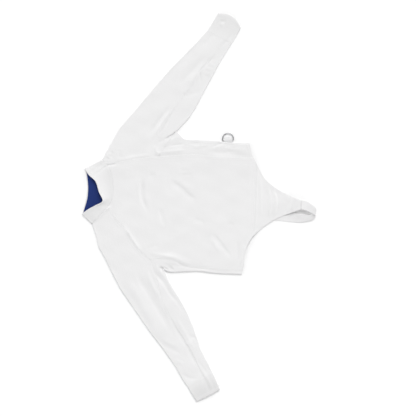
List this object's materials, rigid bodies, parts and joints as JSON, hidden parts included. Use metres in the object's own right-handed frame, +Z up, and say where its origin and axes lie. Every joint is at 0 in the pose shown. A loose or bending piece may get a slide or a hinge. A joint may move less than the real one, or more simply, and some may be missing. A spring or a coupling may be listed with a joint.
{
  "type": "fencing jacket",
  "caption": "White fencing jacket laid flat front up, with stand collar, long sleeves, pointed front with an elastic crotch strap and a ring at the side.",
  "frame": {"origin": "centre of the laid jacket's bounding box, on the surface that it lies on", "axes": "+X from the collar to the hem and the crotch strap, +Y towards the wearer's left sleeve, +Z up out of the front"},
  "size_m": [0.9357, 1.5518, 0.023],
  "materials": {
    "white_cloth": "matt white quilted jacket cloth",
    "blue_lining": "matt deep blue lining cloth",
    "white_elastic": "ribbed white elastic",
    "white_webbing": "woven white webbing",
    "steel": "plain polished steel wire"
  },
  "bodies": {
    "jacket": {"back": "white_cloth", "front_main": "white_cloth", "front_left": "white_cloth", "side_right": "white_cloth", "side_left": "white_cloth", "sleeve_right_upper": "white_cloth", "sleeve_right_under": "white_cloth", "cuff_right": "white_cloth", "sleeve_left_upper": "white_cloth", "sleeve_left_under": "white_cloth", "cuff_left": "white_cloth", "collar": "white_cloth", "collar_lining": "blue_lining", "crotch_point": "white_cloth", "crotch_strap": "white_elastic", "ring_tab": "white_webbing"},
    "ring": {"d_ring": "steel"}
  },
  "joints": [
    {"name": "ring_swing", "type": "hinge", "parent": "jacket", "child": "ring", "pos_m": [0.116, 0.269, 0.0043], "axis": [1, 0, 0], "range_deg": [0, 150]}
  ]
}
